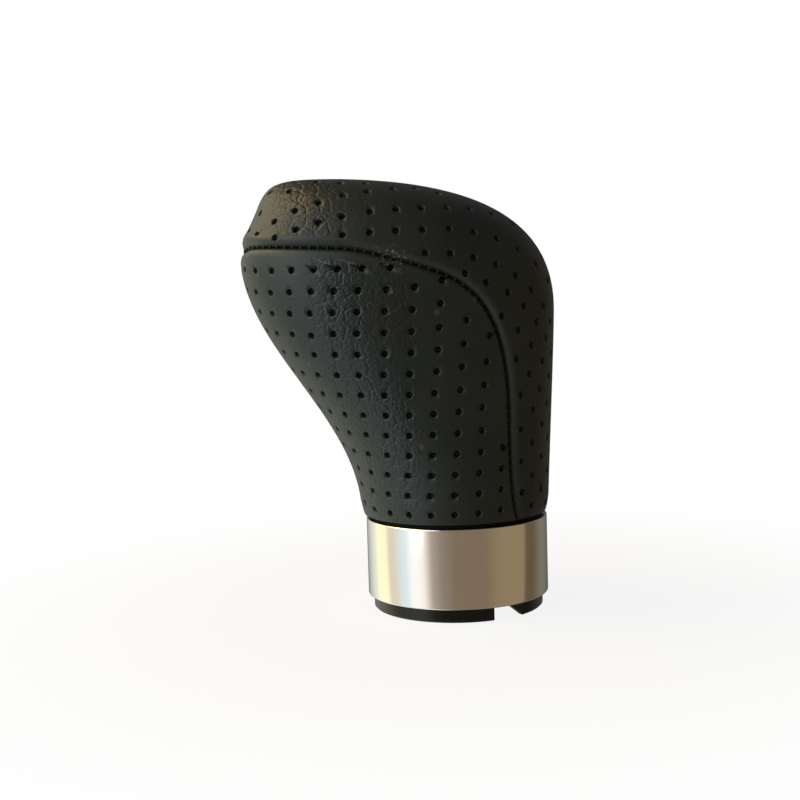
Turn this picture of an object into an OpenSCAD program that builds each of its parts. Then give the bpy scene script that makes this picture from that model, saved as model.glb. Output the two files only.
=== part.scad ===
// Twist-locking gear shift knob: a pistol-grip body wrapped in two perforated leather
// panels, a satin collar, and a black lock sleeve that turns a quarter turn to release it.
// The lever axis is Z, the foot of the lock sleeve stands at Z = 0 and the nose points to -X.

/* [Grip outline] */
// Height of the crown above the foot
crown_z = 94.1; // [91:0.1:99]
// Distance of the crown in front of the lever axis
crown_x = 30.7; // [26:0.1:33]
// Reach of the nose in front of the lever axis
nose_reach = 45.7; // [43:0.1:50]
// Height of the foremost point of the nose
nose_z = 78.2; // [75:0.1:78.6]
// Reach of the back behind the lever axis
back_reach = 22.4; // [22:0.1:26]
// Height of the rearmost point of the back
back_z = 65.5; // [58:0.1:67]
// Width of the head
head_w = 44; // [41:0.5:50]
// Height where the head is widest
widest_z = 72.4; // [64:0.1:76]
// Height where the flanks start to close over the crown
shoulder_z = 66.4; // [60:0.1:70]
// Squareness of the crown seen from the front
crown_power = 3.0; // [2.2:0.1:3.6]
// Squareness of the head seen from above
plan_power = 2.35; // [2:0.05:2.8]
// Radius of the leather where it meets the collar
skirt_r = 20.4; // [20.2:0.1:21]
// Reach of the leather in front of the lever axis where it meets the collar
skirt_front = 21; // [20.4:0.1:22]
// Reach of the brow, the shoulder between nose and crown
brow_reach = 41.5; // [39:0.1:44]
// Height of the brow
brow_z = 88.5; // [84:0.1:91]
// Lean of the front outline at the brow
brow_lean = 22; // [10:1:50]
// Pull of the front outline upwards from the collar
neck_pull = 21.5; // [18:0.5:26]
// Lean of the front outline where it leaves the collar
neck_lean = 0; // [-1:0.1:3]
// Pull of the front outline downwards from the nose
throat_pull = 20.1; // [15:0.1:22]
// Pull of the front outline upwards from the nose
nose_pull = 3; // [2:0.5:6]
// Pull of the front outline both ways from the brow
brow_pull = 5; // [2:0.5:6]
// Pull of the front outline forwards from the crown
crown_pull = 6.6; // [4:0.1:9]
// Pull of the back outline upwards from the collar
heel_pull = 4; // [2:0.5:8]
// Pull of the back outline downwards from its rearmost point
back_pull = 6.3; // [4:0.1:10]
// Pull of the back outline upwards from its rearmost point
nape_pull = 21.5; // [17:0.1:23]
// Pull of the back outline rearwards from the crown
ridge_pull = 31.9; // [26:0.1:34]

/* [Leather] */
// Thickness of the leather with its foam backing
leather_t = 1.8; // [1.4:0.1:2.4]
// Spacing of the perforation rows
row_pitch = 4.5; // [4:0.1:6]
// Perforations in a row between the front of the grip and the seam
side_columns = 10; // [6:1:11]
// Perforations in a row between the seam and the ridge of the top strip
strip_columns = 5; // [3:1:6]
// Width of one perforation
hole_d = 1.5; // [1:0.1:1.8]
// Depth of the perforations
hole_depth = 1.1; // [0.6:0.1:1.3]
// Height of the seam on the nose
seam_z = 79.4; // [79:0.1:80]
// Where the seam leaves the level and bends down
seam_bend_x = -19; // [-24:0.5:-14]
// Distance of the upright part of the seam behind the lever axis
seam_back_x = 12.6; // [10:0.1:14]
// Height where the seam becomes upright
seam_back_z = 44.4; // [38:0.1:50]
// Pull of the seam rearwards from its level part
seam_pull_x = 16; // [10:0.5:20]
// Pull of the seam upwards from its upright part
seam_pull_z = 19; // [12:0.5:22]
// Open groove between the two panels
seam_gap = 1.2; // [1:0.05:1.6]
// Thickness of the seam thread
thread_d = 0.7; // [0.5:0.05:0.8]

/* [Core] */
// Space between the leather and the moulded core
core_gap = 0.5; // [0.45:0.05:0.6]
// Wall of the moulded core
core_wall = 3; // [2.4:0.1:4]
// Thickness of the ribs that hold the bushing
rib_t = 3; // [2:0.5:4]
// Radius of the screw bosses
boss_r = 4.5; // [4:0.1:5.5]
// Diameter of the core screws
screw_d = 3; // [2.5:0.1:3.5]
// Diameter of the screw heads
screw_head_d = 5.6; // [5:0.1:6.5]
// Length of the core screws under the head
screw_l = 16; // [12:1:18]

/* [Collar] */
// Diameter of the collar
collar_d = 40; // [39.4:0.1:40.6]
// Height of the collar
collar_h = 17; // [16:0.1:19]
// Wall of the collar
collar_wall = 1; // [0.8:0.05:1.2]
// Thickness of the trim ring above the collar
trim_t = 0.8; // [0.6:0.1:1]
// How far the trim ring stands back from the collar
trim_setback = 1.2; // [0.6:0.1:1.6]

/* [Lock] */
// How far the lock sleeve shows under the collar
sleeve_drop = 3; // [2.4:0.1:3.6]
// Radial clearance between sleeve and collar
sleeve_clear = 0.25; // [0.15:0.05:0.4]
// Wall of the skirt of the lock sleeve
sleeve_wall = 1.6; // [1.2:0.1:2]
// Height of the drive notch
notch_h = 4.2; // [3.4:0.1:5]
// Angle of the square side of the notch, from the near side towards the back
notch_start = 21; // [16:0.1:30]
// Angle that the notch is fully open
notch_open = 6.2; // [5:0.1:16]
// Angle of the ramped side of the notch
notch_ramp = 17; // [8:0.1:24]
// Angle that the sleeve turns between locked and released
turn = 90; // [60:5:100]
// Free angle left at either end of the turn
stop_play = 3; // [2:0.5:5]

/* [Lever socket] */
// Diameter of the lever that the knob slides on
lever_d = 12; // [10:0.5:13]
// Wall of the socket tube
socket_wall = 2; // [1.5:0.1:2.4]
// Depth of the socket
socket_depth = 58; // [50:1:60]
// Height of the mouth of the socket above the foot
mouth_z = 0.2; // [0.2:0.1:1]
// Height of the lower end of the neck above the foot
neck_z = 3.4; // [2.8:0.1:3.8]
// Outer radius of the bushing inside the core
bushing_r = 12; // [11.4:0.1:13]
// Outer radius of the neck that the sleeve turns on
neck_r = 15.4; // [15:0.1:15.8]
// Wire of the lock clip
wire_d = 1.5; // [1.2:0.1:1.8]
// Height of the lock clip
clip_z = 10.6; // [10:0.1:11.5]
// Length of the rubber damper
damper_l = 6; // [4:0.5:8]

/* [Hidden] */

fine = 96;
tiny = 0.01;
seat = 0.05;

// Heights from the foot up
collar_z = sleeve_drop;
collar_top_z = collar_z + collar_h;
trim_z = collar_top_z + seat;
skirt_z = trim_z + trim_t + seat;
core_z = skirt_z;

// Radii from the lever axis out
collar_r = collar_d / 2;
collar_in_r = collar_r - collar_wall;
sleeve_r = collar_in_r - sleeve_clear;
sleeve_in_r = sleeve_r - sleeve_wall;
hub_r = neck_r + 0.08;
lever_r = lever_d / 2;
socket_r = lever_r + socket_wall;
socket_top_z = mouth_z + socket_depth;

// Outline of the leather seen from the side
brow = [-brow_reach, brow_z];
brow_way = brow_pull * [sin(brow_lean), cos(brow_lean)];
front_path = concat(
    curve([-skirt_front, skirt_z], [-skirt_front - neck_lean, skirt_z + neck_pull],
        [-nose_reach, nose_z - throat_pull], [-nose_reach, nose_z], 16),
    tail(curve([-nose_reach, nose_z], [-nose_reach, nose_z + nose_pull], brow - brow_way, brow, 7)),
    tail(curve(brow, brow + brow_way, [-crown_x - crown_pull, crown_z], [-crown_x, crown_z], 8)));
back_path = concat(
    curve([skirt_r, skirt_z], [skirt_r, skirt_z + heel_pull],
        [back_reach, back_z - back_pull], [back_reach, back_z], 10),
    tail(curve([back_reach, back_z], [back_reach, back_z + nape_pull],
        [-crown_x + ridge_pull, crown_z], [-crown_x, crown_z], 22)));
SKIN = layer(0);
BACKING = layer(leather_t);
CORE = layer(leather_t + core_gap);
CAVITY = layer(leather_t + core_gap + core_wall);

// Seam seen from the side: level round the nose, then bending down to the collar
seam_flare = 1;
seam_fall = concat(
    curve([seam_bend_x, seam_z], [seam_bend_x + seam_pull_x, seam_z],
        [seam_back_x, seam_back_z + seam_pull_z], [seam_back_x, seam_back_z], 14),
    tail(curve([seam_back_x, seam_back_z], [seam_back_x, mix(seam_back_z, skirt_z, 1 / 3)],
        [seam_back_x + seam_flare / 2, mix(seam_back_z, skirt_z, 2 / 3)],
        [seam_back_x + seam_flare, skirt_z], 6)));

function bez(a, b, c, d, t) =
    pow(1 - t, 3) * a + 3 * t * pow(1 - t, 2) * b + 3 * t * t * (1 - t) * c + pow(t, 3) * d;
function curve(a, b, c, d, n) = [for (i = [0:n]) bez(a, b, c, d, i / n)];
function tail(path) = [for (i = [1:len(path) - 1]) path[i]];
function mix(a, b, t) = a + (b - a) * t;
function smooth(t) = let (s = min(max(t, 0), 1)) s * s * (3 - 2 * s);
function unit(v) = v / max(norm(v), 1e-9);

// A path moved sideways by d, to its right for a positive d
function beside(path, d) = [
    for (i = [0:len(path) - 1])
        let (t = unit(path[min(i + 1, len(path) - 1)] - path[max(i - 1, 0)]))
            path[i] + d * [t[1], -t[0]]
];
function by_height(path) = [for (p = path) [p[1], p[0]]];

// A closed surface that lies a depth d under the leather's outer face
function layer(d) = [d, by_height(beside(front_path, d)), by_height(beside(back_path, -d))];
function front_x(L, z) = lookup(z, L[1]);
function back_x(L, z) = lookup(z, L[2]);
function plan_n(z) = mix(2, plan_power, smooth((z - skirt_z) / (widest_z - skirt_z)));
function half_w(L, z) =
    let (w = mix(skirt_r, head_w / 2, smooth((z - skirt_z) / (widest_z - skirt_z))) - L[0],
        rise = min(max((z - shoulder_z) / (crown_z - L[0] - shoulder_z), 0), 1))
            w * pow(1 - pow(rise, crown_power), 1 / crown_power);
function half_y(L, x, z) =
    let (f = front_x(L, z), b = back_x(L, z), t = min(abs(2 * x - f - b) / max(b - f, tiny), 1))
        half_w(L, z) * pow(1 - pow(t, plan_n(z)), 1 / plan_n(z));
function lifted(L, p) = [p[0], -half_y(L, p[0], p[1]), p[1]];

// Points spread evenly along a line of points
function step(path, i) = i + 1 < len(path) ? norm(path[i + 1] - path[i]) : 0;
function lengths(path) = [for (i = 0, s = 0; i < len(path); s = s + step(path, i), i = i + 1) s];
function even(path, n) =
    let (s = lengths(path), total = s[len(s) - 1])
        [for (k = [0:n]) [for (c = [0:len(path[0]) - 1])
            lookup(total * k / n, [for (i = [0:len(path) - 1]) [s[i], path[i][c]]])]];
function mirrored(row) = concat(
    row, [for (i = [len(row) - 2:-1:0]) [row[i][0], -row[i][1], row[i][2]]]);

// Half of a row of a panel, from its seam edge to the middle of the part
function half_row(L, seam, ridge, n) =
    let (steps = 20)
        even([for (k = [0:steps])
            k == steps ? [ridge[0], 0, ridge[1]] : lifted(L, mix(seam, ridge, sin(90 * k / steps)))], n);

// Rows of the side panel: level, from seam to seam round the front of the grip
side_top_z = seam_z - seam_gap / 2;
side_edge = by_height(beside(seam_fall, seam_gap / 2));
side_bend_h = 4.2;
side_rows_n = round((side_top_z - side_bend_h - skirt_z) / row_pitch);
side_heights = concat(
    [for (i = [0:side_rows_n]) mix(skirt_z, side_top_z - side_bend_h, i / side_rows_n)],
    [for (k = [3:-1:0]) side_top_z - side_bend_h * pow(k / 4, 2)]);
function side_rows(L) = [
    for (z = side_heights) mirrored(half_row(L, [lookup(z, side_edge), z], [front_x(L, z), z], side_columns))
];

// Rows of the top strip: from seam to seam over the top and down the back
strip_foot_z = seam_z + seam_gap / 2;
strip_nose = [front_x(SKIN, strip_foot_z), strip_foot_z];
strip_edge = concat([for (k = [0:2]) mix(strip_nose, [seam_bend_x, strip_foot_z], k / 4)],
    beside(seam_fall, -seam_gap / 2));
strip_ridge = concat([strip_nose], [for (p = front_path) if (p[1] > strip_foot_z + seam_gap / 2) p],
    [for (i = [len(back_path) - 2:-1:0]) back_path[i]]);
strip_rows_n = round(lengths(strip_ridge)[len(strip_ridge) - 1] / row_pitch);
strip_seams = even(strip_edge, strip_rows_n);
strip_ridges = even(strip_ridge, strip_rows_n);
function strip_rows(L) =
    let (inner = beside(strip_ridges, L[0]))
        [for (i = [0:strip_rows_n])
            mirrored(half_row(L, i == 0 ? inner[0] : strip_seams[i], inner[i], strip_columns))];

// A panel from its outer and inner rows, with a pit in each cell of the rows from pit_a to pit_b.
// With a pole, the first row is one point.
module panel(outer, inner, pole, pit_a, pit_b) {
    rows = len(outer) - 1;
    cols = len(outer[0]) - 1;
    inner_at = (rows + 1) * (cols + 1);
    pits_at = 2 * inner_at;
    half_diagonal = hole_d * 0.6;
    function at(i, j) = pole && i == 0 ? 0 : i * (cols + 1) + j;
    function under(i, j) = inner_at + at(i, j);
    function pit(i, j) = pits_at + 8 * ((i - pit_a) * cols + j);
    function quad(a, b, c, d) = [
        for (t = [[a, b, c], [a, c, d]]) if (t[0] != t[1] && t[1] != t[2] && t[2] != t[0]) t
    ];
    function ring(a, b) = [for (k = [0:3]) each quad(a[k], a[(k + 1) % 4], b[(k + 1) % 4], b[k])];
    pit_points = [
        for (i = [pit_a:pit_b], j = [0:cols - 1])
            let (q = [outer[i][j], outer[i][j + 1], outer[i + 1][j + 1], outer[i + 1][j]],
                mid = (q[0] + q[1] + q[2] + q[3]) / 4,
                inward = unit(cross(q[2] - q[0], q[3] - q[1])),
                rim = [for (p = q) mid + unit(p - mid) * half_diagonal])
                    each concat(rim, [for (p = rim) p + inward * hole_depth])
    ];
    faces = concat(
        [for (i = [0:rows - 1], j = [0:cols - 1]) if (i < pit_a || i > pit_b)
            each quad(at(i, j), at(i, j + 1), at(i + 1, j + 1), at(i + 1, j))],
        [for (i = [pit_a:pit_b], j = [0:cols - 1])
            let (p = pit(i, j), rim = [p, p + 1, p + 2, p + 3], floor = [p + 4, p + 5, p + 6, p + 7])
                each concat(ring([at(i, j), at(i, j + 1), at(i + 1, j + 1), at(i + 1, j)], rim),
                    ring(rim, floor), quad(floor[0], floor[1], floor[2], floor[3]))],
        [for (i = [0:rows - 1], j = [0:cols - 1])
            each quad(under(i, j), under(i + 1, j), under(i + 1, j + 1), under(i, j + 1))],
        [for (j = [0:cols - 1]) each concat(
            pole ? [] : quad(at(0, j + 1), at(0, j), under(0, j), under(0, j + 1)),
            quad(at(rows, j), at(rows, j + 1), under(rows, j + 1), under(rows, j)))],
        [for (i = [0:rows - 1]) each concat(
            quad(at(i, 0), at(i + 1, 0), under(i + 1, 0), under(i, 0)),
            quad(at(i + 1, cols), at(i, cols), under(i, cols), under(i + 1, cols)))]);
    polyhedron(concat([for (r = outer) each r], [for (r = inner) each r], pit_points), faces);
}

module top_leather_panel() {
    color([0.17, 0.17, 0.15])
        panel(strip_rows(SKIN), strip_rows(BACKING), true, 2, strip_rows_n - 1);
}

module side_leather_panel() {
    color([0.15, 0.16, 0.15])
        panel(side_rows(SKIN), side_rows(BACKING), false, 0, side_rows_n - 1);
}

// The thread lies in the groove between the panels, from the collar round the nose and back
module seam_thread() {
    sides = 5;
    sunk = 0.3;
    bed = layer(sunk + thread_d / 2);
    centre = [0, 0, back_z];
    nose_x = front_x(bed, seam_z);
    side_view = concat([for (k = [0:12]) [mix(nose_x, seam_bend_x, pow(k / 12, 2)), seam_z]], seam_fall);
    half = even([for (p = side_view) p[0] <= nose_x ? [p[0], 0, p[1]] : lifted(bed, p)], 34);
    function spoke(k) = thread_d / 2 * [cos(360 * k / sides), sin(360 * k / sides)];
    path = concat([for (i = [len(half) - 1:-1:0]) half[i]],
        [for (i = [1:len(half) - 1]) [half[i][0], -half[i][1], half[i][2]]]);
    last = len(path) - 1;
    points = [for (i = [0:last])
        let (t = unit(path[min(i + 1, last)] - path[max(i - 1, 0)]),
            u = unit(cross(t, path[i] - centre)), v = cross(u, t))
                for (k = [0:sides - 1]) path[i] + spoke(k)[0] * u + spoke(k)[1] * v];
    color([0.1, 0.1, 0.1])
        polyhedron(points, concat(
            [for (i = [0:last - 1], k = [0:sides - 1])
                let (n = (k + 1) % sides)
                    each [[i * sides + k, i * sides + n, (i + 1) * sides + n],
                        [i * sides + k, (i + 1) * sides + n, (i + 1) * sides + k]]],
            [[for (k = [sides - 1:-1:0]) k]],
            [[for (k = [0:sides - 1]) last * sides + k]]));
}

// A closed body inside a layer, from a flat foot up to the crown
module body_of(L, foot_z, rings, around) {
    top_z = crown_z - L[0];
    function ring(z) =
        let (f = front_x(L, z), b = back_x(L, z), n = plan_n(z))
            [for (k = [0:around - 1])
                let (c = cos(360 * k / around), s = sin(360 * k / around))
                    [(f + b) / 2 + (b - f) / 2 * sign(c) * pow(abs(c), 2 / n),
                        half_w(L, z) * sign(s) * pow(abs(s), 2 / n), z]];
    points = concat([for (i = [0:rings - 1]) each ring(mix(foot_z, top_z, sin(90 * i / rings)))],
        [[-crown_x, 0, top_z]]);
    pole = rings * around;
    polyhedron(points, concat(
        [for (i = [0:rings - 2], k = [0:around - 1])
            let (a = i * around + k, b = i * around + (k + 1) % around)
                each [[a, a + around, b + around], [a, b + around, b]]],
        [for (k = [0:around - 1])
            [(rings - 1) * around + k, pole, (rings - 1) * around + (k + 1) % around]],
        [[for (k = [0:around - 1]) k]]));
}

// Core screws run across the grip, through bosses in both halves
screw_places = [[-31, 71], [9, 74], [-19, 49]];
screw_head_h = 2.2;
flange_z = 43;
flange_t = 3;
flange_lip = 1.5;
flange_corner = 3.5;
cap_t = 2;
damper_z = socket_top_z + seat;
bushing_top_z = damper_z + damper_l + seat + cap_t;
rib_heights = [flange_z - seat - rib_t, flange_z + flange_t + seat, bushing_top_z - rib_t - 1];

module across(place, r, from_y, to_y) {
    translate([place[0], from_y, place[1]])
        rotate([-90, 0, 0])
            cylinder(r = r, h = to_y - from_y, $fn = 48);
}

// The bushing's flange is square with round corners, so the core keeps it from turning
module flange(margin) {
    half_w = bushing_r + flange_lip + margin;
    translate([0, 0, flange_z - margin])
        intersection() {
            translate([-half_w, -half_w, 0])
                cube([2 * half_w, 2 * half_w, flange_t + 2 * margin]);
            cylinder(r = bushing_r + flange_corner + margin, h = flange_t + 2 * margin, $fn = fine);
        }
}

module core_half(side) {
    reach = nose_reach + head_w;
    difference() {
        intersection() {
            body_of(CORE, core_z, 15, 28);
            translate([-reach, side < 0 ? -reach : 0, 0])
                cube([2 * reach, reach, 2 * reach]);
        }
        difference() {
            body_of(CAVITY, core_z + core_wall, 12, 24);
            for (z = rib_heights)
                translate([-reach, -reach, z])
                    cube([2 * reach, 2 * reach, rib_t]);
            for (p = screw_places)
                across(p, boss_r, -reach, reach);
        }
        cylinder(r = bushing_r + seat, h = bushing_top_z + seat, $fn = fine);
        for (p = screw_places) {
            across(p, screw_d / 2 + seat, -screw_l / 2 - seat, screw_l / 2 + 1);
            across(p, screw_head_d / 2 + seat, -reach, -screw_l / 2);
        }
        flange(seat);
    }
}

module core_left_half() {
    color([0.35, 0.35, 0.36])
        core_half(-1);
}

module core_right_half() {
    color([0.42, 0.42, 0.43])
        core_half(1);
}

module core_screws() {
    key_r = 1.35;
    color([0.7, 0.7, 0.72])
        for (p = screw_places)
            difference() {
                union() {
                    across(p, screw_d / 2, -screw_l / 2 - tiny, screw_l / 2);
                    across(p, screw_head_d / 2, -screw_l / 2 - screw_head_h, -screw_l / 2);
                }
                translate([p[0], -screw_l / 2 - screw_head_h - tiny, p[1]])
                    rotate([-90, 0, 0])
                        cylinder(r = key_r, h = screw_head_h * 0.6, $fn = 6);
            }
}

// Stack of the lock, from the foot up
circlip_t = 1;
circlip_z = neck_z + 0.9;
hub_z = circlip_z + circlip_t + seat;
shoulder_t = 4.15;
shoulder_top_z = collar_top_z - collar_wall - seat;
shoulder_under_z = shoulder_top_z - shoulder_t;
sleeve_top_z = shoulder_under_z - 0.15;
groove_depth = 0.8;
groove_r = neck_r - groove_depth;
lug_h = 1.6;
lug_half_a = 6;
lug_in_r = neck_r + 0.7;
lug_out_r = collar_in_r - 1.1;
stop_space = 0.2;

// A ring sector between two radii, from angle a over a sweep
module sector(in_r, out_r, h, a, sweep) {
    rotate([0, 0, a])
        rotate_extrude(angle = sweep, $fn = fine)
            translate([in_r, 0])
                square([out_r - in_r, h]);
}

// The wire's U in plan, widened by a margin
clip_y = lever_r + wire_d / 2 + 0.02;
clip_bend_x = 7;
clip_end_x = -10;
clip_play = 0.2;

module clip_slot() {
    half_slot = wire_d / 2 + clip_play;
    slot_end_x = clip_end_x - 2 * clip_play;
    translate([0, 0, clip_z - half_slot]) {
        for (s = [-1, 1])
            translate([slot_end_x, s * clip_y - half_slot, 0])
                cube([clip_bend_x - slot_end_x, 2 * half_slot, 2 * half_slot]);
        translate([clip_bend_x, 0, 0])
            sector(clip_y - half_slot, clip_y + half_slot, 2 * half_slot, -90, 180);
    }
}

module neck_bushing() {
    bore_r = socket_r + seat;
    edge = 0.5;
    color([0.12, 0.12, 0.13])
        difference() {
            union() {
                rotate_extrude($fn = fine)
                    polygon([[bore_r, neck_z], [neck_r - edge, neck_z], [neck_r, neck_z + edge],
                        [neck_r, circlip_z - seat], [groove_r, circlip_z - seat],
                        [groove_r, circlip_z + circlip_t + seat], [neck_r, circlip_z + circlip_t + seat],
                        [neck_r, shoulder_under_z], [collar_in_r - seat, shoulder_under_z],
                        [collar_in_r - seat, shoulder_top_z], [bushing_r, shoulder_top_z],
                        [bushing_r, bushing_top_z - 1], [bushing_r - 1, bushing_top_z],
                        [0, bushing_top_z], [0, bushing_top_z - cap_t], [bore_r, bushing_top_z - cap_t]]);
                difference() {
                    flange(0);
                    translate([0, 0, flange_z - tiny])
                        cylinder(r = (bushing_r + bore_r) / 2, h = flange_t + 2 * tiny, $fn = fine);
                }
            }
            translate([0, 0, shoulder_under_z - tiny])
                sector(lug_in_r - stop_space, lug_out_r + stop_space, lug_h + 0.3,
                    -lug_half_a - stop_play, turn + 2 * (lug_half_a + stop_play));
            clip_slot();
        }
}

module lever_socket() {
    edge = 0.3;
    color([0.62, 0.63, 0.65])
        difference() {
            rotate_extrude($fn = fine)
                polygon([[lever_r, mouth_z + edge], [lever_r + edge, mouth_z], [socket_r, mouth_z],
                    [socket_r, socket_top_z], [lever_r, socket_top_z]]);
            clip_slot();
        }
}

module lock_clip() {
    color([0.75, 0.75, 0.78])
        translate([0, 0, clip_z])
            union() {
                for (s = [-1, 1])
                    translate([clip_end_x, s * clip_y, 0])
                        rotate([0, 90, 0])
                            cylinder(d = wire_d, h = clip_bend_x - clip_end_x, $fn = 32);
                translate([clip_bend_x, 0, 0])
                    rotate([0, 0, -90])
                        rotate_extrude(angle = 180, $fn = fine)
                            translate([clip_y, 0])
                                circle(d = wire_d, $fn = 32);
            }
}

module lever_damper() {
    dish = 1.5;
    edge = 0.8;
    color([0.2, 0.2, 0.2])
        rotate_extrude($fn = fine)
            polygon([[0, damper_z + dish], [lever_r - 1, damper_z + dish], [lever_r, damper_z],
                [socket_r - seat, damper_z], [socket_r - seat, damper_z + damper_l - edge],
                [socket_r - seat - edge, damper_z + damper_l], [0, damper_z + damper_l]]);
}

module trim_ring() {
    color([0.08, 0.08, 0.08])
        rotate_extrude($fn = fine)
            translate([bushing_r + seat, trim_z])
                square([collar_r - trim_setback - bushing_r - seat, trim_t]);
}

module collar_ring() {
    edge = 0.35;
    color([0.72, 0.7, 0.66])
        rotate_extrude($fn = 2 * fine)
            polygon([[collar_in_r, collar_z], [collar_r - edge, collar_z], [collar_r, collar_z + edge],
                [collar_r, collar_top_z - edge], [collar_r - edge, collar_top_z],
                [bushing_r + seat, collar_top_z], [bushing_r + seat, collar_top_z - collar_wall],
                [collar_in_r, collar_top_z - collar_wall]]);
}

module circlip() {
    out_r = sleeve_in_r - 0.3;
    in_r = groove_r + seat;
    ear_r = (out_r - in_r) / 2;
    gap_a = 36;
    eye_r = 0.45;
    color([0.5, 0.5, 0.52])
        translate([0, 0, circlip_z])
            difference() {
                union() {
                    sector(in_r, out_r, circlip_t, gap_a / 2, 360 - gap_a);
                    for (a = [-gap_a / 2, gap_a / 2])
                        rotate([0, 0, a])
                            translate([(in_r + out_r) / 2, 0, 0])
                                cylinder(r = ear_r, h = circlip_t, $fn = 32);
                }
                for (a = [-gap_a / 2, gap_a / 2])
                    rotate([0, 0, a])
                        translate([(in_r + out_r) / 2, 0, -tiny])
                            cylinder(r = eye_r, h = circlip_t + 2 * tiny, $fn = 24);
            }
}

// The sleeve's notch opens downwards: a square side, an open part and a ramp
module drive_notch() {
    near = -90;
    cut = 1;
    ramp_l = sleeve_r * sin(notch_ramp);
    translate([0, 0, -tiny]) {
        sector(sleeve_in_r - cut, sleeve_r + cut, notch_h + tiny, near + notch_start, notch_open);
        rotate([0, 0, near + notch_start + notch_open])
            translate([sleeve_in_r - cut, 0, 0])
                rotate([90, 0, 90])
                    linear_extrude(sleeve_wall + 2 * cut)
                        polygon([[-cut, 0], [ramp_l, 0], [0, notch_h + tiny], [-cut, notch_h + tiny]]);
    }
}

module lock_sleeve() {
    edge = 0.3;
    color([0.1, 0.1, 0.1])
        union() {
            difference() {
                rotate_extrude($fn = fine)
                    polygon([[sleeve_in_r, 0], [sleeve_r - edge, 0], [sleeve_r, edge],
                        [sleeve_r, sleeve_top_z], [hub_r, sleeve_top_z], [hub_r, hub_z],
                        [sleeve_in_r, hub_z]]);
                drive_notch();
            }
            translate([0, 0, sleeve_top_z - tiny])
                sector(lug_in_r, lug_out_r, lug_h + tiny, -lug_half_a, 2 * lug_half_a);
        }
}

top_leather_panel();
side_leather_panel();
seam_thread();
core_left_half();
core_right_half();
core_screws();
neck_bushing();
lever_socket();
lock_clip();
lever_damper();
trim_ring();
collar_ring();
circlip();
lock_sleeve();
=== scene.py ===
"""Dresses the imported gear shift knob: perforated leather, stitched seam, satin collar, lock sleeve."""
import logging
import math
from dataclasses import dataclass, field
from enum import Enum
from functools import cached_property

import bmesh
import bpy
import numpy as np
from bmesh.types import BMesh
from bpy.types import Material, Node, NodeInputs, NodeOutputs, NodeSocket, NodeTree, Object
from mathutils import Matrix, Vector
from mathutils.kdtree import KDTree


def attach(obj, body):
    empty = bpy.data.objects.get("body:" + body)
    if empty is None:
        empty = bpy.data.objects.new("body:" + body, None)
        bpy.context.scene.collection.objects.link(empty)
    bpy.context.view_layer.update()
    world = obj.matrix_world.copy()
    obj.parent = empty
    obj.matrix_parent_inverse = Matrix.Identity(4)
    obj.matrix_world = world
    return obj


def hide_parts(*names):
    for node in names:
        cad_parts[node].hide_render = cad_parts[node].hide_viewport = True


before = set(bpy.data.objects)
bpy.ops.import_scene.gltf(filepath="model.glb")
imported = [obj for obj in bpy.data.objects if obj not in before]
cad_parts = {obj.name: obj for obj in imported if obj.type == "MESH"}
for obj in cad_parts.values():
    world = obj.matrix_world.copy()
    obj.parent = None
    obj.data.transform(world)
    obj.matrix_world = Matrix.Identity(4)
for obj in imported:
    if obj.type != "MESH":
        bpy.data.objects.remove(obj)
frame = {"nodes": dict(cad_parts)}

logging.basicConfig(level=logging.INFO, format="%(message)s")
LOG = logging.getLogger("knob")

MM = 0.001
GRIP = "grip"
WHITE = (1.0, 1.0, 1.0, 1.0)
FRAYED_SPOT = (-0.0125, -0.0215, 0.0765)

Point = tuple | np.ndarray


class CreasedZone(Enum):
    """Where a panel's leather is creased most: the span of x and the span's soft edge, in millimetres."""

    FRONT_BAND = (-32.0, -13.0, 8.0)
    NOSE = (-42.0, -27.0, 8.0)


def clamp(value: float, low: float = 0.0, high: float = 1.0) -> float:
    """Returns the value held between low and high."""
    return min(max(value, low), high)


def smooth_step(t: np.ndarray) -> np.ndarray:
    """Returns the smooth ramp from 0 to 1 of t."""
    s = np.clip(t, 0.0, 1.0)
    return s * s * (3.0 - 2.0 * s)


def bezier(a: Point, b: Point, c: Point, d: Point, steps: int) -> np.ndarray:
    """Samples a cubic curve.

    Args:
        a, b, c, d: Its start, two pulls and end, as (x, z).
        steps: Number of spans.

    Returns:
        Points, one a row.
    """
    t = np.linspace(0.0, 1.0, steps + 1)[:, None]
    p = [np.array(v, float) for v in (a, b, c, d)]
    return (1 - t) ** 3 * p[0] + 3 * t * (1 - t) ** 2 * p[1] + 3 * t * t * (1 - t) * p[2] + t ** 3 * p[3]


def arc_lengths(points: np.ndarray) -> np.ndarray:
    """Returns the length run along a line of points, at each of them."""
    return np.concatenate([[0.0], np.cumsum(np.linalg.norm(np.diff(points, axis=0), axis=1))])


def along(points: np.ndarray, at: np.ndarray) -> np.ndarray:
    """Returns the points that lie at the given lengths along a line."""
    run = arc_lengths(points)
    return np.stack([np.interp(at, run, points[:, k]) for k in range(points.shape[1])], axis=1)


def beside(points: np.ndarray, distance: float) -> np.ndarray:
    """Moves a side-view line sideways.

    Args:
        points: The line.
        distance: How far, to the line's right where it is positive.

    Returns:
        The moved line.
    """
    way = np.gradient(points, axis=0)
    way /= np.maximum(np.linalg.norm(way, axis=1, keepdims=True), 1e-9)
    return points + distance * np.stack([way[:, 1], -way[:, 0]], axis=1)


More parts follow.
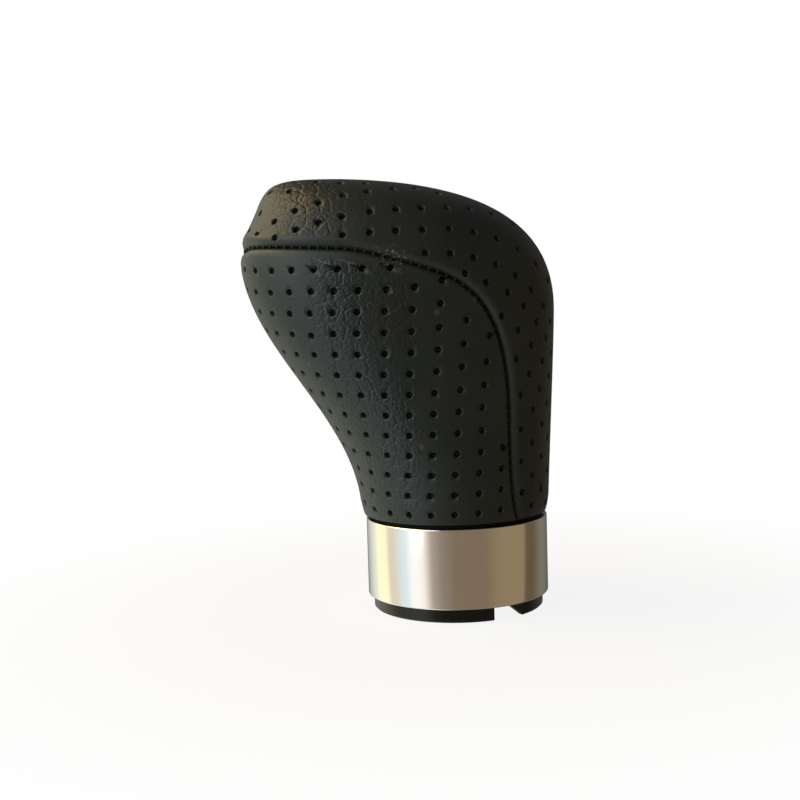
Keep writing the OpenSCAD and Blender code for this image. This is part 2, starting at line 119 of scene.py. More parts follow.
@dataclass(frozen=True)
class GripShape:
    """Outer face of the leather and the line of its seam, in millimetres."""

    crown_z: float = 94.1
    crown_x: float = 30.7
    nose_reach: float = 45.7
    nose_z: float = 78.2
    back_reach: float = 22.4
    back_z: float = 65.5
    head_w: float = 44.0
    widest_z: float = 72.4
    shoulder_z: float = 66.4
    crown_power: float = 3.0
    plan_power: float = 2.35
    skirt_r: float = 20.4
    skirt_z: float = 20.9
    skirt_front: float = 21.0
    brow_reach: float = 41.5
    brow_z: float = 88.5
    brow_lean: float = 22.0
    neck_pull: float = 21.5
    throat_pull: float = 20.1
    nose_pull: float = 3.0
    brow_pull: float = 5.0
    crown_pull: float = 6.6
    heel_pull: float = 4.0
    back_pull: float = 6.3
    nape_pull: float = 21.5
    ridge_pull: float = 31.9
    seam_z: float = 79.4
    # Seam: level round the nose, sloping to a knee, then bending down to the collar
    seam_bend_x: float = -23.1
    seam_bend_pull: float = 4.0
    seam_knee: tuple = (-5.0, 74.6)
    seam_knee_lean: float = 20.6
    seam_knee_pulls: tuple = (3.6, 10.6)
    seam_back_x: float = 11.1
    seam_back_z: float = 44.4
    seam_back_pull: float = 18.8
    seam_flare: float = 1.5
    # How far the leather near the seam is drawn up at the nose and down on the flank, and at which x
    nose_rise: float = 0.35
    nose_tip_x: float = -43.0
    tip_fall: float = 0.45
    flank_fall: float = 0.9
    flank_x: float = -21.1
    drawn_from: tuple = (66.0, 78.0)
    drawn_to: tuple = (81.0, 90.0)

    @cached_property
    def front(self) -> np.ndarray:
        """Front outline from the collar up to the crown, as (x, z)."""
        nose, crown = (-self.nose_reach, self.nose_z), (-self.crown_x, self.crown_z)
        lean = math.radians(self.brow_lean)
        way = self.brow_pull * np.array([math.sin(lean), math.cos(lean)])
        brow = np.array([-self.brow_reach, self.brow_z])
        throat = bezier((-self.skirt_front, self.skirt_z),
                        (-self.skirt_front, self.skirt_z + self.neck_pull),
                        (-self.nose_reach, self.nose_z - self.throat_pull), nose, 60)
        face = bezier(nose, (-self.nose_reach, self.nose_z + self.nose_pull), brow - way, brow, 40)
        over = bezier(brow, brow + way, (-self.crown_x - self.crown_pull, self.crown_z), crown, 50)
        return np.vstack([throat, face[1:], over[1:]])

    @cached_property
    def back(self) -> np.ndarray:
        """Back outline from the collar up to the crown, as (x, z)."""
        rear = (self.back_reach, self.back_z)
        heel = bezier((self.skirt_r, self.skirt_z), (self.skirt_r, self.skirt_z + self.heel_pull),
                      (self.back_reach, self.back_z - self.back_pull), rear, 40)
        nape = bezier(rear, (self.back_reach, self.back_z + self.nape_pull),
                      (-self.crown_x + self.ridge_pull, self.crown_z), (-self.crown_x, self.crown_z), 120)
        return np.vstack([heel, nape[1:]])

    @cached_property
    def seam_fall(self) -> np.ndarray:
        """Seam from where it leaves the level down to the collar, as (x, z)."""
        third = (self.seam_back_z - self.skirt_z) / 3.0
        lean = math.radians(self.seam_knee_lean)
        way, knee = np.array([math.cos(lean), -math.sin(lean)]), np.array(self.seam_knee)
        rear = (self.seam_back_x, self.seam_back_z)
        slope = bezier((self.seam_bend_x, self.seam_z), (self.seam_bend_x + self.seam_bend_pull, self.seam_z),
                       knee - way * self.seam_knee_pulls[0], knee, 40)
        turn = bezier(knee, knee + way * self.seam_knee_pulls[1],
                      (self.seam_back_x, self.seam_back_z + self.seam_back_pull), rear, 60)
        upright = bezier(rear, (self.seam_back_x, self.seam_back_z - third),
                         (self.seam_back_x, self.skirt_z + third / 2),
                         (self.seam_back_x + self.seam_flare, self.skirt_z), 30)
        return np.vstack([slope, turn[1:], upright[1:]])

    @cached_property
    def seam(self) -> np.ndarray:
        """Whole near seam from the nose to the collar, as (x, z)."""
        nose_x = float(self.front_x(self.seam_z))
        t = np.linspace(0.0, 1.0, 60)[:-1] ** 2
        level = np.stack([nose_x + (self.seam_bend_x - nose_x) * t, np.full_like(t, self.seam_z)], axis=1)
        return np.vstack([level, self.seam_fall])

    def front_x(self, z: np.ndarray) -> np.ndarray:
        """Returns x of the front outline at height z."""
        return np.interp(z, self.front[:, 1], self.front[:, 0])

    def back_x(self, z: np.ndarray) -> np.ndarray:
        """Returns x of the back outline at height z."""
        return np.interp(z, self.back[:, 1], self.back[:, 0])

    def power(self, z: np.ndarray) -> np.ndarray:
        """Returns the squareness of the level section at height z."""
        t = (z - self.skirt_z) / (self.widest_z - self.skirt_z)
        return 2.0 + (self.plan_power - 2.0) * smooth_step(t)

    def half_width(self, z: np.ndarray) -> np.ndarray:
        """Measures the level sections.

        Args:
            z: Their heights.

        Returns:
            Half the width of each.
        """
        t = (z - self.skirt_z) / (self.widest_z - self.skirt_z)
        wide = self.skirt_r + (self.head_w / 2 - self.skirt_r) * smooth_step(t)
        rise = np.clip((z - self.shoulder_z) / (self.crown_z - self.shoulder_z), 0.0, 1.0)
        return wide * (1.0 - rise ** self.crown_power) ** (1.0 / self.crown_power)

    def half_y(self, x: np.ndarray, z: np.ndarray) -> np.ndarray:
        """Measures how far the skin stands from the middle plane.

        Args:
            x, z: Side-view points.

        Returns:
            The distance at each of them.
        """
        f, b, n = self.front_x(z), self.back_x(z), self.power(z)
        t = np.clip(np.abs(2 * x - f - b) / np.maximum(b - f, 1e-6), 0.0, 1.0)
        return self.half_width(z) * (1.0 - t ** n) ** (1.0 / n)

    def drawn(self, side: np.ndarray) -> np.ndarray:
        """Draws the leather near the seam up at the nose and down on the flank.

        Args:
            side: Side-view points, as (x, z).

        Returns:
            The points, each at the same share of the way from the front outline to the back.
        """
        x, z = side[:, 0], side[:, 1]
        weight = smooth_step((z - self.drawn_from[0]) / (self.drawn_from[1] - self.drawn_from[0]))
        weight = weight * (1.0 - smooth_step((z - self.drawn_to[0]) / (self.drawn_to[1] - self.drawn_to[0])))
        new_z = z + weight * np.interp(x, [-self.nose_reach, self.nose_tip_x, self.flank_x],
                                       [-self.tip_fall, self.nose_rise, -self.flank_fall])
        front, back = self.front_x(z), self.back_x(z)
        share = (x - front) / np.maximum(back - front, 1e-6)
        new_x = self.front_x(new_z) + share * (self.back_x(new_z) - self.front_x(new_z))
        return np.stack([new_x, new_z], axis=1)

    def lift(self, side: np.ndarray) -> np.ndarray:
        """Returns side-view points laid on the near skin, as (x, y, z)."""
        x, z = side[:, 0], side[:, 1]
        return np.stack([x, -self.half_y(x, z), z], axis=1)

    def spot(self, x: float, z: float) -> Vector:
        """Returns the near skin's point over the side-view point (x, z)."""
        return Vector(self.lift(np.array([[x, z]]))[0])

    def section(self, z: float, count: int = 240) -> np.ndarray:
        """Lays a level section of the near skin.

        Args:
            z: Its height.
            count: Number of points.

        Returns:
            The points, from the back to the front.
        """
        f, b, n = float(self.front_x(z)), float(self.back_x(z)), float(self.power(z))
        angle = np.linspace(0.0, math.pi, count)
        c, s = np.cos(angle), np.sin(angle)
        x = (f + b) / 2 + (b - f) / 2 * np.sign(c) * np.abs(c) ** (2 / n)
        y = -float(self.half_width(z)) * np.abs(s) ** (2 / n)
        return np.stack([x, y, np.full_like(x, z)], axis=1)

    def top_z(self, x: float, y: float) -> float:
        """Measures the top of the head.

        Args:
            x, y: Plan point.

        Returns:
            Height of the skin over it.
        """
        heights = np.linspace(self.shoulder_z, self.crown_z, 400)
        reach = self.half_y(np.full_like(heights, x), heights)
        inside = heights[reach >= abs(y)]
        return float(inside[-1]) if len(inside) else self.shoulder_z


@dataclass
class Perforations:
    """Where the leather is punched, on the near half of the grip, in millimetres."""

    shape: GripShape
    # Side panel: level rows and upright columns. A pair named _at says where a change starts and its span
    rows: int = 13
    first_row_z: float = 22.85
    row_pitch: float = 4.225
    top_row_rise: float = 0.9
    back_lift: float = 0.0012
    back_lift_gain: float = 0.0115
    back_lift_at: tuple = (26.4, 43.0)
    back_lift_start: float = 2.0
    front_lift: float = 1.5
    front_lift_at: tuple = (5.0, 13.0)
    front_gap: float = 4.0
    front_reach: float = 7.0
    first_column: float = -26.6
    column_pitch: float = 5.0
    columns: int = 14
    widening: float = 0.14
    widening_at: tuple = (42.4, 20.0)
    widest_arc: float = 3.5
    meridian_x: float = -16.0
    edge_margin: float = 0.6
    front_margin: float = 1.9
    top_margin: float = 2.4
    lean: tuple = ((22.0, -0.2), (32.0, 0.1), (42.0, 0.3), (50.0, 0.85),
                   (64.0, 0.85), (69.0, 0.3), (74.0, -0.8))
    # Top strip: lines that run level over the head and then fall down the back
    strip_pitch: float = 5.05
    line_pitch: float = 5.42
    line_heights: tuple = (89.6, 85.1, 81.1)
    middle_line_z: float = 85.0
    # Slopes of the lines in degrees, with the places where they grow
    nose_slope: tuple = (12.5, 16.0, -25.5, 13.5, 0.7)
    rise_slope: tuple = (9.0, 0.9, 5.0, -5.0, 20.0)
    fall_slope: tuple = (42.0, -3.0, 0.35, 80.0, 24.0)
    line_start_x: float = -22.4
    fall_starts: tuple = ((-5.8, 76.9), (2.0, 72.3), (9.6, 63.8), (12.4, 55.0), (13.4, 47.4),
                          (13.3, 40.3), (13.1, 33.5), (12.9, 26.8))
    brow_start: tuple = (-27.9, 92.9)
    ridge_lines: tuple = (2.5, 7.5, 12.4)
    ridge_start_x: float = -22.8
    look_ahead: float = 2.0
    foot_margin: float = 1.6
    crown_margin: float = 0.5
    middle_margin: float = 1.6
    crowding: float = 3.7
    seam_margin: float = 2.0
    seam_push: float = 0.8
    spread: float = 4.55
    fill_step: float = 0.7
    fill_margin: float = 3.0
    fill_y: float = 2.4
    fill_y_step: float = 0.8
    hidden_y: float = 9.0
    crown_from: float = 87.0
    crown_clear: float = 10.5

    def row_z(self, row: int, arc: float, to_front: float) -> float:
        """Returns the height of a side row.

        Args:
            row: Number of the row from the collar up.
            arc: Distance in front of the meridian, along the skin.
            to_front: Distance left to the front of the grip, along the skin.

        Returns:
            Height above the foot.
        """
        share = row / (self.rows - 1)
        level = self.first_row_z + self.row_pitch * row + self.top_row_rise * share ** 6
        start, span = self.back_lift_at
        bend = self.back_lift + self.back_lift_gain * clamp((level - start) / span) ** 2
        behind = max(0.0, -arc - self.back_lift_start)
        start, span = self.front_lift_at
        front_lift = self.front_lift * clamp(1.0 - (to_front - start) / span) ** 2
        return level + bend * behind ** 2 + front_lift

    def side_holes(self) -> list[Vector]:
        """Returns the centres punched in the near half of the side panel."""
        shape = self.shape
        edge = shape.drawn(beside(shape.seam_fall, 1.0))[::-1]
        centres = []
        for row in range(self.rows):
            level = self.first_row_z + self.row_pitch * row
            wider = 1.0 + self.widening * clamp((level - self.widening_at[0]) / self.widening_at[1])
            for column in range(self.columns):
                arc = self.first_column + self.column_pitch * column
                if arc < self.widest_arc:
                    arc = self.widest_arc + (arc - self.widest_arc) * wider
                arc += float(np.interp(level, *zip(*self.lean)))
                z = level
                for _ in range(2):
                    line = shape.section(z)
                    run = arc_lengths(line)
                    origin = np.interp(-self.meridian_x, -line[:, 0], run)
                    z = self.row_z(row, arc, run[-1] - origin - arc)
                at = origin + arc
                point = along(line, np.array([at]))[0]
                free = point[0] < np.interp(z, edge[:, 1], edge[:, 0]) - self.edge_margin
                below = z < shape.seam_z - self.top_margin
                if free and below and 0.0 < at < run[-1] - self.front_margin:
                    centres.append(Vector((point[0], point[1], z)))
                    if self.front_gap < run[-1] - at < self.front_reach:
                        centres.append(Vector((line[-1][0], 0.0, z)))
        return centres

    def heading(self, x: float, z: float) -> float:
        """Finds the slope of the strip's lines as they run to the back.

        Args:
            x, z: Side-view point.

        Returns:
            The slope in degrees.
        """
        if x < self.line_start_x - 1.0:
            level, gain, start, span, tilt = self.nose_slope
            return level + gain * clamp((start - x) / span) ** 1.5 + tilt * (z - self.middle_line_z)
        steep, ease, limit, start, span = self.rise_slope
        rise = (steep - ease * clamp(self.middle_line_z - z, 0.0, limit)) * clamp((start - x) / span)
        steep, start, share, level, span = self.fall_slope
        return rise - steep * clamp((x - start + share * (level - z)) / span)

    def march(self, start: Vector, way: int, steps: int, pitch: float) -> list[Vector]:
        """Walks along a line of holes on the near skin.

        Args:
            start: First centre.
            way: 1 towards the back, -1 towards the nose.
            steps: Most holes to lay.
            pitch: Distance from hole to hole.

        Returns:
            The centres after the first.
        """
        shape = self.shape
        found, here = [], start
        for _ in range(steps):
            line = shape.section(here.z)
            k = int(np.argmin(np.hypot(line[:, 0] - here.x, line[:, 1] - here.y)))
            ahead = Vector(line[max(k - 2, 0)] - line[min(k + 2, len(line) - 1)]).normalized() * way
            slope = math.radians(self.heading(here.x + way * self.look_ahead, here.z)) * way
            step = ahead * math.cos(slope) + Vector((0, 0, math.sin(slope)))
            z = here.z + pitch * step.z
            if not shape.skirt_z + self.foot_margin <= z <= shape.crown_z - self.crown_margin:
                break
            target = here + pitch * step
            line = shape.section(z, 480)
            k = int(np.argmin(np.hypot(line[:, 0] - target.x, line[:, 1] - target.y)))
            here = Vector(line[k])
            if here.y > -self.middle_margin or (here.z > self.crown_from and here.y > -self.crown_clear):
                break
            found.append(here)
        return found

    def strip_holes(self) -> list[Vector]:
        """Returns the centres punched in the near half of the top strip."""
        shape = self.shape
        centres = []
        for z in self.line_heights:
            start = shape.spot(self.line_start_x, z)
            centres += [start] + self.march(start, 1, 14, self.line_pitch)
            centres += self.march(start, -1, 5, self.strip_pitch)
        for x, z in self.fall_starts:
            start = shape.spot(x, z)
            centres += [start] + self.march(start, 1, 10, self.strip_pitch)
        brow = shape.spot(*self.brow_start)
        centres += [brow] + self.march(brow, -1, 3, self.strip_pitch)
        for y in self.ridge_lines:
            for k in range(-3, 7):
                x = self.ridge_start_x + self.strip_pitch * k
                centres.append(Vector((x, -y, shape.top_z(x, y))))
        return self.filled(self.thinned(centres))

    def filled(self, kept: list[Vector]) -> list[Vector]:
        """Adds holes on the top, nose and back where the lines from the two sides leave the skin bare.

        Args:
            kept: Centres already laid.

        Returns:
            All the centres.
        """
        shape = self.shape
        places = []
        across = np.concatenate([[0.0], np.arange(self.fill_y, self.hidden_y, self.fill_y_step)])
        for x in np.arange(-shape.nose_reach, shape.back_reach, self.fill_step):
            places += [(x, -y, shape.top_z(x, y)) for y in across]
        low, high = shape.skirt_z + self.fill_margin, shape.crown_z - self.fill_margin
        for z in np.arange(low, high, self.fill_step)[::-1]:
            line = shape.section(z, 400)
            end = arc_lengths(line)[-1]
            for y in across:
                places += [tuple(point) for point in along(line, np.array([y, end - y]))]
        taken = [tuple(c) for c in kept] + [(c.x, -c.y, c.z) for c in kept]
        for place in places:
            bare = place[2] > shape.seam_z + self.fill_margin or place[0] > 0.0
            if bare and np.linalg.norm(np.array(taken) - np.array(place), axis=1).min() >= self.spread:
                kept.append(Vector(place))
                taken += [place, (place[0], -place[1], place[2])]
        return kept

    def thinned(self, centres: list[Vector]) -> list[Vector]:
        """Leaves out the holes that crowd an earlier one or the seam.

        Args:
            centres: The centres laid.

        Returns:
            Those that stay, some of them pushed off the seam.
        """
        shape = self.shape
        seam = shape.lift(shape.drawn(shape.seam))
        fall = shape.drawn(shape.seam_fall)
        kept: list[Vector] = []
        for centre in centres:
            away = np.array(centre) - seam
            nearest = away[int(np.argmin(np.linalg.norm(away, axis=1)))]
            to_seam = float(np.linalg.norm(nearest))
            if self.seam_margin - self.seam_push < to_seam < self.seam_margin:
                push = nearest * (self.seam_margin / to_seam - 1.0)
                centre, to_seam = shape.spot(centre.x + push[0], centre.z + push[2]), self.seam_margin
            side = centre.z > shape.seam_z or centre.x > np.interp(-centre.z, -fall[:, 1], fall[:, 0])
            clear = all((centre - other).length > self.crowding for other in kept)
            if side and clear and to_seam >= self.seam_margin:
                kept.append(centre)
        return kept


def linked(name: str, bm: BMesh, material: Material,
           replaces: tuple = (), body: str = GRIP, smooth: bool = True) -> Object:
    """Turns a mesh in millimetres into a finished piece in metres.

    Args:
        name: Name of the piece.
        bm: The mesh, freed here.
        material: Its finish.
        replaces: CAD nodes that the piece stands for.
        body: Body that it rides on.
        smooth: Whether its faces are shaded smooth.

    Returns:
        The object.
    """
    bmesh.ops.scale(bm, vec=(MM, MM, MM), verts=bm.verts)
    for face in bm.faces:
        face.smooth = smooth
    mesh = bpy.data.meshes.new(name)
    bm.to_mesh(mesh)
    bm.free()
    piece = bpy.data.objects.new(name, mesh)
    bpy.context.scene.collection.objects.link(piece)
    mesh.materials.append(material)
    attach(piece, body)
    if replaces:
        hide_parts(*replaces)
    LOG.info("%s: %d faces", name, len(mesh.polygons))
    return piece


@dataclass
class LeatherPanel:
    """One panel of moulded leather: a shell with rolled edges and punched holes."""

    shape: GripShape
    material: Material
    name: str = "leather"
    node: str = ""
    slot: str = ""
    thickness: float = 1.7
    cell: float = 1.15
    seam_gap: float = 0.1
    lip: float = 0.0
    hole_r: float = 0.8
    hole_depth: float = 1.15
    mouth_share: float = 0.9
    rim: float = 0.13
    taper: float = 0.03
    smooth_reach: float = 3.4
    nose_roll: float = 0.8
    nose_roll_at: tuple = (3.0, 4.0)
    lip_at: tuple = (1.5, 0.8)
    least_tuck: float = 0.05
    row_length: float = 58.0
    full_edge: float = 12.0
    edge_steps: tuple = (0.0, 0.12, 0.3, 0.55, 0.85, 1.25, 1.8)
    roll_reach: tuple = (0.1, 0.25, 0.55, 1.0, 1.6, 2.6)
    roll_depth: tuple = (1.3, 0.98, 0.62, 0.34, 0.12, 0.0)
    foot_reach: tuple = (0.0, 0.4, 1.2, 2.0, 3.0, 4.5)
    foot_depth: tuple = (0.6, 0.46, 0.27, 0.14, 0.05, 0.0)
    holes: list = field(default_factory=list)

    def ladder(self, length: float, spans: int) -> np.ndarray:
        """Divides a length into spans that are close together near its start.

        Args:
            length: The length.
            spans: Number of spans.

        Returns:
            spans + 1 places.
        """
        close = np.array(self.edge_steps) * min(1.0, length / self.full_edge)
        rest = np.linspace(close[-1], length, spans + 2 - len(close))[1:]
        return np.concatenate([close, rest])

    def half_row(self, seam: np.ndarray, ridge: np.ndarray, spans: int) -> np.ndarray:
        """Lays a row of points on the near skin.

        Args:
            seam: Side-view point at the seam.
            ridge: Side-view point on the outline, in the middle plane.
            spans: Number of spans.

        Returns:
            spans + 1 points from the seam to the ridge.
        """
        t = np.sin(np.linspace(0.0, math.pi / 2, 90))[:, None]
        side = self.shape.drawn(seam + (ridge - seam) * t)
        line = self.shape.lift(side)
        line[-1] = (side[-1][0], 0.0, side[-1][1])
        return along(line, self.ladder(arc_lengths(line)[-1], spans))

    def half_rows(self) -> list[np.ndarray]:
        """Returns the near half of every row of the panel."""
        raise NotImplementedError

    def skin(self) -> BMesh:
        """Returns the panel's outer face as a grid laid on the grip."""
        halves = self.half_rows()
        spans, rows = len(halves[0]) - 1, len(halves) - 1
        bm = bmesh.new()
        bm.verts.layers.float.new("seam_near")
        bmesh.ops.create_grid(bm, x_segments=2 * spans, y_segments=rows, size=1.0)
        for vert in bm.verts:
            row = round((vert.co.y + 1.0) / 2.0 * rows)
            column = round((vert.co.x + 1.0) * spans)
            point = halves[row][min(column, 2 * spans - column)]
            vert.co = (point[0], point[1] if column <= spans else -point[1], point[2])
        bmesh.ops.remove_doubles(bm, verts=bm.verts, dist=1e-4)
        bm.normal_update()
        face = max(bm.faces, key=lambda f: -f.calc_center_median().y)
        if face.normal.y > 0:
            bmesh.ops.reverse_faces(bm, faces=bm.faces)
        return bm

    def seam_tree(self) -> KDTree:
        """Returns the points of both seams, to measure distances from."""
        shape = self.shape
        seam = shape.lift(shape.drawn(shape.seam))
        seam = along(seam, np.linspace(0, arc_lengths(seam)[-1], 700))
        tree = KDTree(2 * len(seam))
        for k, point in enumerate(seam):
            tree.insert(Vector(point), 2 * k)
            tree.insert(Vector((point[0], -point[1], point[2])), 2 * k + 1)
        tree.balance()
        return tree

    def mark_near(self, bm: BMesh, verts: list, tree: KDTree) -> None:
        """Writes how near vertices lie to the seam into the shell's attribute.

        Args:
            bm: The panel's shell.
            verts: The vertices.
            tree: The points of both seams.
        """
        near = bm.verts.layers.float["seam_near"]
        for vert in verts:
            vert[near] = max(0.0, 1.0 - tree.find(vert.co)[2] / self.smooth_reach)

    def roll_edges(self, verts: list, normals: dict, tree: KDTree) -> None:
        """Draws the panel's edges down into the seam and in over the collar.

        Args:
            verts: The outer vertices.
            normals: Their outward normals.
            tree: The points of both seams.
        """
        start, span = self.nose_roll_at
        crest, spread = self.lip_at
        for vert in verts:
            at_nose = clamp((self.shape.nose_tip_x + start - vert.co.x) / span)
            away = tree.find(vert.co)[2] / (1.0 + self.nose_roll * at_nose)
            down = float(np.interp(away, self.roll_reach, self.roll_depth))
            down -= self.lip * math.exp(-((away - crest) / spread) ** 2)
            tuck = float(np.interp(vert.co.z - self.shape.skirt_z, self.foot_reach, self.foot_depth))
            vert.co -= normals[vert] * (max(down, tuck) if tuck > self.least_tuck else down)

    def punch(self, bm: BMesh, outer: list) -> None:
        """Punches the holes into the outer face.

        Args:
            bm: The panel's shell.
            outer: Its outer vertices.
        """
        inner_verts = [v for v in outer if not v.is_boundary and len(v.link_edges) == 4]
        tree = KDTree(len(inner_verts))
        for k, vert in enumerate(inner_verts):
            tree.insert(vert.co, k)
        tree.balance()
        centres, taken = [], set()
        for near in self.holes:
            for centre in (near, Vector((near.x, -near.y, near.z))):
                _, k, off = tree.find(centre)
                if k not in taken and off < self.cell:
                    taken.add(k)
                    level = inner_verts[k].normal
                    inner_verts[k].co = centre - level * (centre - inner_verts[k].co).dot(level)
                    centres.append(inner_verts[k])
        ring = {edge.other_vert(vert) for vert in centres for edge in vert.link_edges}
        ring |= {edge.other_vert(vert) for vert in ring for edge in vert.link_edges}
        ring -= set(centres)
        free = [vert for vert in inner_verts if vert in ring]
        before = [(vert, vert.co.copy(), vert.normal.copy()) for vert in free]
        for _ in range(3):
            bmesh.ops.smooth_vert(bm, verts=free, factor=0.5,
                                  use_axis_x=True, use_axis_y=True, use_axis_z=True)
        for vert, was, level in before:
            vert.co -= level * (vert.co - was).dot(level)
        cut = bmesh.ops.bevel(bm, geom=centres, offset=self.hole_r * self.mouth_share, offset_type="OFFSET",
                              affect="VERTICES", segments=3, profile=0.5, material=-1)
        mouths = bmesh.ops.dissolve_faces(bm, faces=cut["faces"])["region"]
        for mouth in mouths:
            middle, normal = mouth.calc_center_median(), mouth.normal.copy()
            spoke = mouth.verts[0].co - middle
            spoke = (spoke - normal * spoke.dot(normal)).normalized() * self.hole_r
            for k, vert in enumerate(mouth.verts):
                vert.co = middle + Matrix.Rotation(math.tau * k / len(mouth.verts), 3, normal) @ spoke
        bmesh.ops.inset_individual(bm, faces=mouths, thickness=self.rim, depth=-self.rim)
        bmesh.ops.inset_individual(bm, faces=mouths, thickness=self.taper, depth=self.rim - self.hole_depth)
        LOG.info("%s: %d holes", self.name, len(mouths))

    def build(self) -> Object:
        """Returns the finished panel."""
        bm = self.skin()
        outer = list(bm.verts)
        normals = {v: v.normal.copy() for v in outer}
        bmesh.ops.solidify(bm, geom=bm.faces[:], thickness=self.thickness)
        tree = self.seam_tree()
        self.mark_near(bm, outer, tree)
        self.roll_edges(outer, normals, tree)
        bm.normal_update()
        plain = set(bm.verts)
        self.punch(bm, outer)
        self.mark_near(bm, [v for v in bm.verts if v not in plain], tree)
        return linked(self.name, bm, self.material, (self.node,))


@dataclass
class SidePanel(LeatherPanel):
    """Leather round the front of the grip, from seam to seam."""

    name: str = "side_leather"
    node: str = "side_leather_panel"
    slot: str = "side_leather"
    roll_depth: tuple = (1.3, 0.85, 0.42, 0.16, 0.05, 0.0)

    def half_rows(self) -> list[np.ndarray]:
        """Returns level rows from the seam to the front."""
        s = self.shape
        edge = beside(s.seam_fall, self.seam_gap)[::-1]
        top = s.seam_z - self.seam_gap
        count = round((top - s.skirt_z) / self.cell)
        steps = self.ladder((top - s.skirt_z) / 2, count // 2)
        spans = round(self.row_length / self.cell)
        return [self.half_row(np.array([np.interp(z, edge[:, 1], edge[:, 0]), z]),
                              np.array([float(s.front_x(z)), z]), spans)
                for z in np.unique(np.concatenate([s.skirt_z + steps, top - steps]))]


@dataclass
class TopStrip(LeatherPanel):
    """Leather over the top of the head and down the back, from seam to seam."""

    name: str = "top_leather"
    node: str = "top_leather_panel"
    slot: str = "top_leather"
    lip: float = 0.32
    row_length: float = 34.0

    def half_rows(self) -> list[np.ndarray]:
        """Returns rows across the strip from the seam to its ridge, from the nose to the collar."""
        s = self.shape
        foot = s.seam_z + self.seam_gap
        nose = np.array([[float(s.front_x(foot)), foot]])
        t = np.linspace(0.0, 1.0, 40)[1:-1, None]
        fall = beside(s.seam_fall, -self.seam_gap)
        edge = np.vstack([nose, nose + (fall[0] - nose) * t, fall])
        ridge = np.vstack([nose, s.front[s.front[:, 1] > foot + 0.2], s.back[-2::-1]])
        count = round(arc_lengths(ridge)[-1] / self.cell)
        share = self.ladder(float(count), count) / count
        seams = along(edge, share * arc_lengths(edge)[-1])
        ridges = along(ridge, share * arc_lengths(ridge)[-1])
        return [self.half_row(a, b, round(self.row_length / self.cell)) for a, b in zip(seams, ridges)]


@dataclass
class SeamStitches:
    """Short stitches that cross the groove between the two panels."""

    shape: GripShape
    material: Material
    pitch: float = 1.95
    length: float = 1.15
    width: float = 0.44
    sunk: float = 0.95
    slant: float = 16.0
    end_gap: float = 1.0
    look_ahead: float = 0.3
    hub_x: float = -8.0

    def build(self) -> Object:
        """Returns the stitches as one piece."""
        shape = self.shape
        seam = shape.lift(shape.drawn(shape.seam))
        count = int((arc_lengths(seam)[-1] - 2 * self.end_gap) / self.pitch)
        at = self.end_gap + self.pitch * (np.arange(count) + 0.5)
        places, ahead = along(seam, at), along(seam, at + self.look_ahead)
        bm = bmesh.new()
        for place, after in zip(places, ahead):
            for side in (1.0, -1.0):
                spot, way = Vector(place), Vector(after - place)
                spot.y *= side
                way.y *= side
                from_hub = Vector((spot.x - self.hub_x, spot.y, 0.0))
                way.normalize()
                cross = from_hub.normalized().cross(way)
                out = cross.cross(way)
                out = out if out.dot(from_hub) > 0 else -out
                turn = Matrix((cross.normalized(), way, out.normalized())).transposed().to_4x4()
                turn = turn @ Matrix.Rotation(math.radians(self.slant * side), 4, "Z")
                size = Matrix.Diagonal((self.length / 2, self.width / 2, self.width / 2, 1.0))
                bmesh.ops.create_icosphere(bm, subdivisions=2, radius=1.0,
                                           matrix=Matrix.Translation(spot - out * self.sunk) @ turn @ size)
        bmesh.ops.recalc_face_normals(bm, faces=bm.faces)
        return linked("seam_stitches", bm, self.material, ("seam_thread",))


def lathe(profile: tuple, steps: int) -> BMesh:
    """Spins a closed profile round the lever axis.

    Args:
        profile: Corners as (radius, height) in millimetres.
        steps: Number of facets round.

    Returns:
        The ring's mesh.
    """
    bm = bmesh.new()
    verts = [bm.verts.new((r, 0.0, z)) for r, z in profile]
    edges = [bm.edges.new((verts[k], verts[(k + 1) % len(verts)])) for k in range(len(verts))]
    bmesh.ops.spin(bm, geom=verts + edges, cent=(0, 0, 0), axis=(0, 0, 1), angle=math.tau,
                   steps=steps, use_merge=True)
    bmesh.ops.remove_doubles(bm, verts=bm.verts, dist=1e-4)
    bmesh.ops.recalc_face_normals(bm, faces=bm.faces)
    return bm


@dataclass
class Collar:
    """Satin metal ring below the leather."""

    material: Material
    outer_r: float = 20.0
    wall: float = 1.0
    mouth_r: float = 12.05
    foot_z: float = 3.0
    top_z: float = 20.0
    edge: float = 0.32
    facets: int = 180
    sharp_from: float = 50.0

    def build(self) -> Object:
        """Returns the ring with its rounded edges."""
        inner = self.outer_r - self.wall
        bm = lathe(((inner, self.foot_z), (self.outer_r, self.foot_z), (self.outer_r, self.top_z),
                    (self.mouth_r, self.top_z), (self.mouth_r, self.top_z - self.wall),
                    (inner, self.top_z - self.wall)), self.facets)
        rims = [e for e in bm.edges if abs(e.verts[0].co.z - e.verts[1].co.z) < 1e-3
                and all(abs(v.co.xy.length - self.outer_r) < 1e-3 for v in e.verts)]
        bmesh.ops.bevel(bm, geom=rims, offset=self.edge, offset_type="OFFSET", affect="EDGES",
                        segments=4, profile=0.5, material=-1)
        for edge in bm.edges:
            edge.smooth = not (edge.is_manifold and edge.calc_face_angle() > math.radians(self.sharp_from))
        return linked("collar", bm, self.material, ("collar_ring",))


